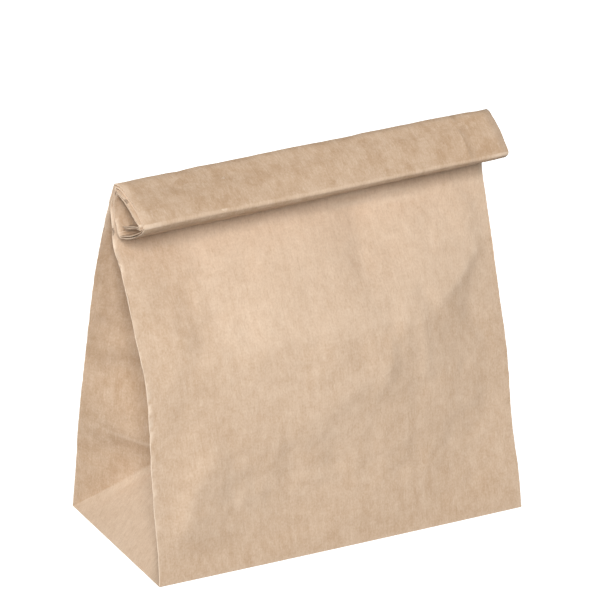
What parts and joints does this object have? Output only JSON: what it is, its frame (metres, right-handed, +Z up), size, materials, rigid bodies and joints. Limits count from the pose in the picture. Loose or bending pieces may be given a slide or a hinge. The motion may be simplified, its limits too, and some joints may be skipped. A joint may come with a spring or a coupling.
{
  "type": "paper lunch bag",
  "caption": "Brown kraft paper lunch bag with a block bottom and gusseted sides, standing closed with its top rolled down.",
  "frame": {"origin": "centre of the flat base the bag stands on", "axes": "+X across the front panel, +Y from front to back, +Z up"},
  "size_m": [0.15, 0.08, 0.1475],
  "materials": {
    "kraft_paper": "uncoated brown kraft, matt, with fine fibres and soft creases"
  },
  "bodies": {
    "root": {"paper_bag": "kraft_paper"}
  },
  "joints": []
}
